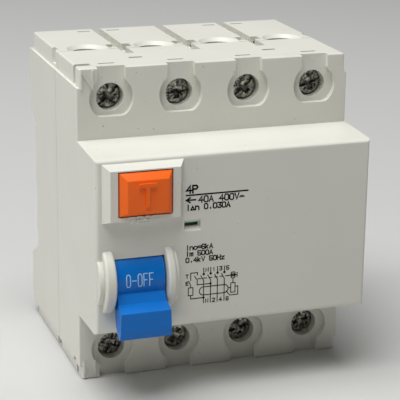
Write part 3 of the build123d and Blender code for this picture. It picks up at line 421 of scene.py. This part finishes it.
def screw_head(radius, height):
    """Rings over a disc from the centre to the rim, then down the side.
    Depth = the larger of slot, cross and marks; the cross gets shallower as (1 - taper r / reach)."""
    turn = np.linspace(0, 2 * np.pi, 160, endpoint=False)
    rings = np.concatenate([[0.02], np.linspace(0.08, 0.93, 46)]) * radius
    r, a = np.meshgrid(rings, turn, indexing="ij")
    u, v = r * np.cos(a), r * np.sin(a)
    slot = slot_depth * step_down(slot_half - np.abs(v))
    taper = 1 - cross_taper * np.clip(r / cross_reach, 0, 1)
    arm_u = step_down(np.minimum(cross_half - np.abs(v), cross_reach - np.abs(u)))
    arm_v = step_down(np.minimum(cross_half - np.abs(u), cross_reach - np.abs(v)))
    cross = cross_depth * taper * np.maximum(arm_u, arm_v)
    across = np.minimum(np.abs(u - v), np.abs(u + v)) / math.sqrt(2)
    marks = mark_depth * step_down(mark_half - across) * step_down(cross_reach * 1.12 - r)
    dome = dome_height * (r / radius) ** 2
    depth = dome + np.maximum(np.maximum(slot, cross), marks)
    top = np.stack([u, depth, v], -1)
    rim = np.linspace(0, np.pi / 2, 6)
    rim_round = rim_share * radius
    rim_r = radius - rim_round + rim_round * np.sin(rim)
    rim_depth = dome_height + rim_round * (1 - np.cos(rim))
    r, a = np.meshgrid(np.append(rim_r, radius), turn, indexing="ij")
    down = np.append(rim_depth, height)[:, None] + 0 * a
    notch = slot_depth * step_down(slot_half - np.abs(r * np.sin(a)))
    down = np.maximum(down, np.where(down < height * 0.9, notch + 0.1 * mm, 0))
    side = np.stack([r * np.cos(a), down, r * np.sin(a)], -1)
    return np.concatenate([top, side])


def threaded_shank(radius, start, end):
    """Radius = full radius less depth times the triangle wave of (y / pitch - angle / turn),
    faded out at the neck and narrowed at the tip."""
    rows = int((end - start) / thread_pitch * 7)
    turn = np.linspace(0, 2 * np.pi, 28, endpoint=False)
    y, a = np.meshgrid(np.linspace(start, end, rows), turn, indexing="ij")
    wave = np.abs(2 * np.mod(y / thread_pitch - a / (2 * np.pi), 1) - 1)
    fade = np.clip((y - start) / thread_pitch, 0, 1)
    tip = tip_narrowing * np.clip(1 - (end - y) / tip_length, 0, 1)
    r = radius - 0.02 * mm - thread_depth * wave * fade - tip
    return np.stack([r * np.cos(a), y, r * np.sin(a)], -1)


# the way each slot points, in degrees clockwise from upright, seen from the front
head_directions = {"upper": (48, 85, 50, 70), "lower": (20, 128, 75, 160)}
head_height = 2.4 * mm
shank_radius = 2.5 * mm
for row, directions in head_directions.items():
    for pole, degrees in enumerate(directions, start=1):
        node = f"terminal_screw_{row}_{pole}"
        low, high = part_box(node)
        head_radius = (high.x - low.x) / 2
        swing = math.radians(90 - degrees)
        spin = np.array([[math.cos(swing), 0, math.sin(swing)], [0, 1, 0],
                         [-math.sin(swing), 0, math.cos(swing)]])
        axis = np.array([(low.x + high.x) / 2, low.y, (low.z + high.z) / 2])
        head = screw_head(head_radius, head_height) @ spin + axis
        shank = threaded_shank(shank_radius, head_height * 0.9, high.y - low.y) + axis
        piece = build(f"threaded_screw_{row}_{pole}", [shell(head), shell(shank)], 40.0)
        settle(piece, screw_steel, body_of(node), "screw_steel", node)

# %% [markdown]
# ## Coil springs
# The test button and the rail latch are each pushed back by a coil spring, one end on the case and the
# other on the piece. Each coil here is built at the length of its node and rides on the case.

# %% Coil springs
def coil(radius, wire, length, turns):
    """Centre line (R cos t, R sin t, t x rise / turn); the wire's circle lies in the plane of the
    outward direction and of the one square to it and to the line."""
    t = np.linspace(0, 2 * np.pi * turns, turns * 30 + 1)
    rise = length - wire
    outward = np.stack([np.cos(t), np.sin(t), 0 * t], -1)
    line = radius * outward + np.stack([0 * t, 0 * t, wire / 2 + rise * t / t[-1]], -1)
    tangent = np.stack([-radius * np.sin(t), radius * np.cos(t), np.full_like(t, rise / t[-1])], -1)
    tangent /= np.linalg.norm(tangent, axis=1, keepdims=True)
    beside = np.cross(outward, tangent)
    a = np.linspace(0, 2 * np.pi, 10, endpoint=False)[None, :, None]
    return line[:, None] + wire / 2 * (np.cos(a) * outward[:, None] + np.sin(a) * beside[:, None])


joints = {joint["name"]: joint for joint in frame["record"]["behaviour"]["joints"]}
# the order says which of the coil's own axes, x, y or length, lies along X, Y and Z
for node, joint, wire, turns, order in (
    ("button_spring", "test_button_slide", 0.5 * mm, 4, [0, 2, 1]),
    ("latch_spring", "rail_latch_slide", 0.4 * mm, 7, [0, 1, 2]),
):
    low, high = (np.array(corner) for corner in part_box(node))
    axis = order.index(2)
    length = high[axis] - low[axis]
    start = (low + high) / 2
    start[axis] = low[axis]
    grid = coil((high[0] - low[0] - wire) / 2, wire, length, turns)[..., order] + start
    # the button's spring stands on the case at its rear end, the latch's spring at its lower end
    fixed = start.copy()
    fixed[axis] = high[axis] if node == "button_spring" else low[axis]
    piece = build(f"coil_{node}", [shell(grid)], 60.0)
    settle(piece, spring_steel, "housing", "spring_steel", node)
    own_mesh(piece)

# %% [markdown]
# ## Strokes
# Raised letters, pad printing and the circuit drawing are all strokes of an even width, as an
# engraver cuts them. A stroke is a path with a small rectangular profile carried along it: at each
# corner the profile leans along the mitre, so the width stays even. The paths are flat, and a second
# function lays them on a face of the case or round the drum of the lever.

# %% Strokes
def refined(path, spacing):
    """The same path with more points: straight runs cut into equal lengths no longer than spacing."""
    run = np.hypot(*np.diff(path, axis=0).T)
    along = np.concatenate([[0], np.cumsum(run)])
    stops = [np.linspace(a, b, max(2, int(np.ceil((b - a) / spacing)) + 1))
             for a, b in zip(along, along[1:])]
    place = np.unique(np.round(np.concatenate(stops), 6))
    return np.stack([np.interp(place, along, path[:, k]) for k in (0, 1)], -1)


def stroke(path, width, rise, sink):
    """Grid over a path: at each point four corners, half a width to each side along the mitre
    (n1 + n2) / (1 + n1.n2), sunk below the face and raised above it. Open ends are square."""
    step = np.diff(path, axis=0)
    step = step / np.hypot(*step.T)[:, None]
    side = np.stack([-step[:, 1], step[:, 0]], -1)
    closed = np.allclose(path[0], path[-1])
    before = np.concatenate([side[-1:] if closed else side[:1], side])
    after = np.concatenate([side, side[:1] if closed else side[-1:]])
    mitre = (before + after) / np.maximum(1 + (before * after).sum(-1, keepdims=True), 0.35)
    path = path.copy()
    if not closed:
        path[0] -= step[0] * width / 2
        path[-1] += step[-1] * width / 2
    left, right = path + mitre * width / 2, path - mitre * width / 2
    flat = np.stack([left, left, right, right], 1)
    height = np.broadcast_to(np.array([-sink, rise, rise, -sink]), flat.shape[:2])
    return np.concatenate([flat, height[..., None]], -1)


def on_face(level):
    """Lays u, v and height on a face that looks to the front, at a level along Y."""
    return lambda grid: np.stack([grid[..., 0], level - grid[..., 2], grid[..., 1]], -1)


def round_drum(radius, pivot_y, pivot_z):
    """Wraps v round a drum with its axis along X: the angle is v / radius, from straight ahead."""
    def lay(grid):
        angle = grid[..., 1] / radius
        reach = radius + grid[..., 2]
        return np.stack([grid[..., 0], pivot_y - reach * np.cos(angle),
                         pivot_z + reach * np.sin(angle)], -1)
    return lay


top_step = 0.004    # mm between the tops of strokes that cross


def strokes(name, paths, width, rise, lay, material, body, slot, sink=0.08, spacing=2.0):
    """One piece from many paths in mm, all of one width. Where two strokes cross, their tops stand
    a few thousandths of a millimetre apart, so that neither shades the other."""
    shells = []
    for place, path in enumerate(paths):
        level = rise + top_step * (place % 4)
        grid = stroke(refined(np.array(path, float), spacing), width, level, sink) * mm
        shells.append(shell(lay(grid)))
    settle(build(name, shells, 30.0), material, body, slot)


# %% [markdown]
# ## Letters
# Each character is drawn on a grid four steps wide and six high. A path is a list of points,
# each written as two digits, across and up, and a comma starts the next path.

# %% Letters
letters = {
    "0": "10 01 05 16 36 45 41 30 10", "1": "14 26 20", "2": "05 16 36 45 44 00 40",
    "3": "06 46 23 33 42 41 30 10 01", "4": "30 36 02 42", "5": "46 06 03 33 42 41 30 10 01",
    "6": "45 36 16 05 01 10 30 41 42 33 03", "A": "00 26 40,12 32", "E": "40 00 06 46,03 33",
    "F": "00 06 46,03 33", "H": "00 06,40 46,03 43", "I": "20 26", "N": "00 06 40 46",
    "P": "00 06 36 45 44 33 03", "S": "45 36 16 05 04 13 33 42 41 30 10 01", "T": "06 46,26 20",
    "V": "06 20 46", "O": "10 01 05 16 36 45 41 30 10", "k": "00 06,34 02,12 30",
    "n": "00 04 34 43 40", "c": "43 34 14 03 01 10 30 41", "m": "00 04 14 23 20,23 34 44 40",
    "z": "04 44 00 40", "~": "02 13 22 33 42", "^": "00 24 40 00", ".": "20 21", "-": "03 43",
    "=": "02 42,04 44", " ": "",
}


def lettering(text, left, base, height, spread=1.35, stretch=1.0):
    """Paths of a line of text in mm: a character is two thirds of its height wide, times stretch."""
    up = height / 6
    across = up * stretch
    paths = []
    for place, character in enumerate(text):
        for path in filter(None, letters[character].split(",")):
            points = np.array([[int(digit) for digit in pair] for pair in path.split()], float)
            paths.append(points * (across, up) + (left + place * (4 + spread) * across, base))
    return paths


def circle_part(x, z, radius, t):
    """Points of a circle at the angles t: x + radius cos t, z + radius sin t."""
    return np.stack([x + radius * np.cos(t), z + radius * np.sin(t)], -1)


def circle(x, z, radius, points=14):
    """A closed round path."""
    return circle_part(x, z, radius, np.linspace(0, 2 * np.pi, points + 1))


def rounded_box(left, right, low, high, radius):
    """A closed box path with quarter circles of the given radius at its corners."""
    t = np.linspace(0, np.pi / 2, 7)
    corners = [(right - radius, high - radius, 0), (left + radius, high - radius, 1),
               (left + radius, low + radius, 2), (right - radius, low + radius, 3)]
    path = np.concatenate([circle_part(x, z, radius, t + q * np.pi / 2) for x, z, q in corners])
    return np.concatenate([path, path[:1]])


print(len(letters), "characters")

# %% [markdown]
# ## Raised marks
# The button, its platform and the corner lugs carry raised marks from the mould: a T for test, the
# word under the button, and an N at the neutral pole. They are the plastic of the piece itself.

# %% Raised marks
button_low, button_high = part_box("test_button")
button_x = (button_low.x + button_high.x) / 2 / mm
button_z = (button_low.z + button_high.z) / 2 / mm
# the stem ends just under the bar, so the two don't overlap
letter_bar = [(button_x - 1.75, button_z + 2.5), (button_x + 1.75, button_z + 2.5)]
letter_stem = [(button_x, button_z + 1.48), (button_x, button_z - 2.4)]
strokes("button_letter", [letter_bar, letter_stem], 1.0, 0.5, on_face(button_low.y), button_plastic,
        body_of("test_button"), "button_plastic")

cover_low, cover_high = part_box("front_cover")
nose_front = -62.0 * mm
platform_proud = 2.5 * mm
platform_front = nose_front - platform_proud
strokes("platform_word", lettering("TEST", button_x - 4.1, button_z - 7.3, 1.6, 3.4), 0.34, 0.25,
        on_face(platform_front), housing_plastic, "housing", "housing_plastic")

terminal_face = -45.5 * mm
corner_letters = lettering("N", cover_low.x / mm + 1.3, cover_high.z / mm - 4.9, 4.2)
corner_letters += lettering("N", cover_low.x / mm + 1.3, cover_low.z / mm + 0.6, 4.2)
strokes("corner_letters", corner_letters, 0.42, 0.45, on_face(terminal_face), housing_plastic,
        "housing", "housing_plastic")

# %% [markdown]
# ## Printed marks
# The front is pad printed in black: the number of poles, the ratings, and the circuit drawing that
# every such device carries. The lever has its positions in white. Real ink stands about 0.01 mm high,
# and here it stands a little higher, so that it doesn't flicker against the face.

# %% Ratings
ink_rise = 0.03
ink_left = -12.8
print_lay = on_face(nose_front)
poles_word = lettering("4P", ink_left, 12.35, 1.8)
strokes("print_poles", poles_word, 0.42, ink_rise, print_lay, black_ink, "housing", "inner_plastic")
rule = [[(ink_left, 11.75), (3.1, 11.75)], [(ink_left, 10.5), (ink_left + 2.3, 10.5)],
        [(ink_left + 0.9, 11.1), (ink_left, 10.5), (ink_left + 0.9, 9.9)]]
rating_words = ("40A 400V~", "I^n 0.030A")
ratings = lettering(rating_words[0], ink_left + 3.2, 9.75, 1.5)
ratings += lettering(rating_words[1], ink_left, 7.95, 1.3)
strokes("print_rule", rule, 0.38, ink_rise, print_lay, black_ink, "housing", "inner_plastic")
strokes("print_ratings", ratings, 0.32, ink_rise, print_lay, black_ink, "housing", "inner_plastic")
small_words = {"Inc=6kA": -2.35, "Im 500A": -3.95, "0.4kV 50Hz": -5.6}    # base line of each
small = [path for words, base in small_words.items() for path in lettering(words, ink_left, base, 1.15)]
strokes("print_small", small, 0.28, ink_rise, print_lay, black_ink, "housing", "inner_plastic")

# %% Circuit drawing
wire_places = [-8.1, -6.28, -4.47, -2.65]
drawing = []
for x in wire_places:
    drawing.append([(x, -7.5), (x, -9.0)])
    drawing.append([(x - 0.75, -9.45), (x, -10.8), (x, -16.7)])
drawing += [[(x, -10.15), (x + 0.75, -10.15)] for x in np.arange(-9.6, -2.0, 1.45)]
drawing.append(rounded_box(-9.2, -1.6, -14.6, -12.45, 1.05))
# test switch, its resistor and their joints with the first two poles
drawing.append([(-11.5, -10.4), (-11.5, -8.5), (-9.75, -8.5), (-9.75, -9.1)])
drawing.append([(-10.5, -9.4), (-9.8, -10.5), (-9.8, -11.75), (wire_places[1], -11.75)])
drawing.append([(-12.0, -10.6), (-11.5, -11.7), (-11.5, -12.35)])
drawing.append([(-12.1, -12.35), (-10.9, -12.35), (-10.9, -14.4), (-12.1, -14.4), (-12.1, -12.35)])
drawing.append([(-11.5, -14.4), (-11.5, -15.3), (wire_places[0], -15.3)])
drawing += lettering("T", -12.75, -9.7, 0.85) + lettering("E", -12.75, -11.6, 0.85)
# trip relay with its coil, fed from the ring
drawing.append(rounded_box(-0.85, 0.2, -10.9, -9.35, 0.25))
drawing += [[(-0.85, z), (0.2, z)] for z in (-9.85, -10.4)]
drawing += [[(-1.9, -10.12), (0.75, -10.12)], [(0.75, -9.6), (0.75, -10.64)],
            [(-0.33, -10.9), (-0.33, -12.2)]]
drawing.append([(-0.9, -12.2), (0.25, -12.2), (0.25, -14.7), (-0.9, -14.7), (-0.9, -12.2)])
drawing.append([(-1.6, -13.4), (-0.9, -13.4)])
drawing.append([(0.25, -13.2), (1.0, -13.2), (1.0, -15.4), (-1.15, -15.4), (-2.1, -14.2)])
strokes("print_circuit", drawing, 0.22, ink_rise, print_lay, black_ink, "housing", "inner_plastic")
dots = [circle(x, -9.1, 0.17) for x in wire_places]
dots += [circle(wire_places[1], -11.75, 0.15), circle(wire_places[0], -15.3, 0.15)]
strokes("print_dots", dots, 0.3, ink_rise * 1.1, print_lay, black_ink, "housing", "inner_plastic")
labels = []
for above, below, x in zip("N135", "N246", wire_places):
    labels += lettering(above, x + 0.55, -8.5, 0.95) + lettering(below, x + 0.55, -16.7, 0.95)
strokes("print_labels", labels, 0.22, ink_rise, print_lay, black_ink, "housing", "inner_plastic")

# %% Lever positions
_, pivot_y, pivot_z = joints["lever_hinge"]["pos_m"]
drum_radius = 7.2 * mm
lever_words = lettering("0-OFF", -28.7, -0.9, 3.1, 2.0, 0.47)
strokes("lever_marks", lever_words, 0.22, ink_rise, round_drum(drum_radius, pivot_y, pivot_z), white_ink,
        body_of("toggle_lever"), "housing_plastic", spacing=0.4)

# %% [markdown]
# ## Materials of the pieces inside
# The other nodes keep their modelled shapes. The record says which slot each of them takes, and the
# dictionary says which finish a slot is.

# %% Materials of the pieces inside
finishes = {
    "housing_plastic": housing_plastic, "lever_plastic": lever_plastic, "button_plastic": button_plastic,
    "latch_plastic": latch_plastic, "screw_steel": screw_steel, "cage_steel": cage_steel,
    "contact_copper": contact_copper, "winding_wire": winding_copper, "core_metal": core_coat,
    "wire_insulation": wire_insulation, "inner_plastic": inner_plastic,
    "resistor_body": resistor_lacquer, "flag_plastic": flag_print, "spring_bronze": spring_bronze,
    "spring_steel": spring_steel, "mechanism_steel": mechanism_steel,
}
for part in frame["record"]["subparts"]:
    data = nodes[part["node"]].data
    data.materials.clear()
    data.materials.append(finishes[part["material_slot"]])

# %% [markdown]
# ## Floor and light
# A wide sheet of pale paper carries the device. One large soft light hangs above and a little behind,
# so the top is bright and the parts under the nose fall into shade. A weaker one stands at the left.

# %% Floor
floor_reach = 6.0
floor_x, floor_y = np.meshgrid([-floor_reach, floor_reach], [-floor_reach, floor_reach])
floor_points = np.stack([floor_x, floor_y, np.full_like(floor_x, cad_low.z)], -1).reshape(-1, 3)
floor_mesh = bpy.data.meshes.new("floor")
floor_mesh.from_pydata(floor_points, [], [(0, 1, 3, 2)])
floor = bpy.data.objects.new("floor", floor_mesh)
bpy.context.scene.collection.objects.link(floor)
floor_paper = bpy.data.materials.new("pale_paper")
floor_paper.use_nodes = True
paper = floor_paper.node_tree.nodes["Principled BSDF"].inputs
paper["Base Color"].default_value = linear("C4C4C2")
paper["Roughness"].default_value = 0.9
floor.data.materials.append(floor_paper)


# %% Lights
def softbox(name, place, aim, width, height, power):
    """A rectangular soft light at a place, turned to face its aim."""
    light = bpy.data.lights.new(name, "AREA")
    light.shape = "RECTANGLE"
    light.size, light.size_y, light.energy = width, height, power
    lamp = bpy.data.objects.new(name, light)
    lamp.location = place
    lamp.rotation_euler = (Vector(aim) - Vector(place)).to_track_quat("-Z", "Y").to_euler()
    bpy.context.scene.collection.objects.link(lamp)
    print(name, power, "W")


centre = (cad_low + cad_high) / 2
softbox("top_light", (-0.3, -0.2, 1.2), centre, 1.0, 1.0, 22.0)
softbox("left_light", (-1.2, -0.1, 0.3), centre, 0.6, 0.6, 2.6)
world = bpy.data.worlds.new("studio")
bpy.context.scene.world = world
world.use_nodes = True
sky = world.node_tree.nodes["Background"].inputs
sky["Color"].default_value = (1.0, 1.0, 1.0, 1.0)
sky["Strength"].default_value = 0.08
bpy.context.scene.view_settings.view_transform = "Standard"
